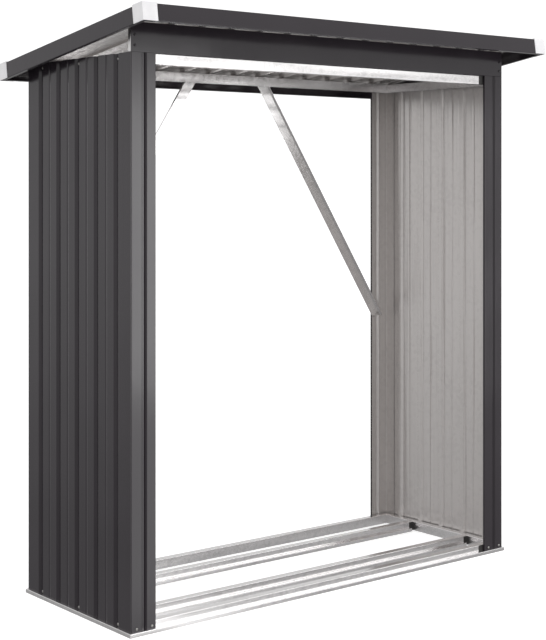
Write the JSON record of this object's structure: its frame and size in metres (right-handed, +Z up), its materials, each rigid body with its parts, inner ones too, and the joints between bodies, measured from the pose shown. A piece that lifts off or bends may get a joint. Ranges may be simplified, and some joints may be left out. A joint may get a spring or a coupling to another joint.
{
  "type": "metal firewood store",
  "caption": "Open-fronted and open-backed lean-to log store of folded sheet steel, with ribbed side walls, a sloping ribbed roof, raised floor joists and two rear braces.",
  "frame": {"origin": "on the ground, under the middle of the bounding box", "axes": "+X to the right along the open front, +Y to the rear, +Z up; the high front edge of the roof faces -Y"},
  "size_m": [1.5524, 0.7681, 1.6647],
  "materials": {
    "zinc": "hot-dip galvanised, satin",
    "anthracite": "semi-gloss coil coat",
    "white_plastic": "satin moulded",
    "black_plastic": "satin moulded"
  },
  "bodies": {
    "root": {"base_front_rail": "zinc", "base_rear_rail": "zinc", "base_left_rail": "zinc", "base_right_rail": "zinc", "front_joist": "zinc", "rear_joist": "zinc", "top_front_rail": "zinc", "top_rear_rail": "zinc", "top_left_rail": "zinc", "top_right_rail": "zinc", "header_left_tie": "zinc", "header_right_tie": "zinc", "left_brace": "zinc", "right_brace": "zinc", "left_wall": "anthracite", "right_wall": "anthracite", "front_left_post": "anthracite", "front_right_post": "anthracite", "rear_left_post": "anthracite", "rear_right_post": "anthracite", "header": "anthracite", "roof_sheet_left": "anthracite", "roof_sheet_middle": "anthracite", "roof_sheet_right": "anthracite", "front_fascia": "anthracite", "rear_fascia": "anthracite", "left_fascia": "anthracite", "right_fascia": "anthracite", "front_left_cap": "white_plastic", "front_right_cap": "white_plastic", "rear_left_cap": "white_plastic", "rear_right_cap": "white_plastic", "left_joist_sockets": "black_plastic", "right_joist_sockets": "black_plastic", "front_rail_socket": "black_plastic", "top_front_left_connector": "black_plastic", "top_front_right_connector": "black_plastic"}
  },
  "joints": []
}
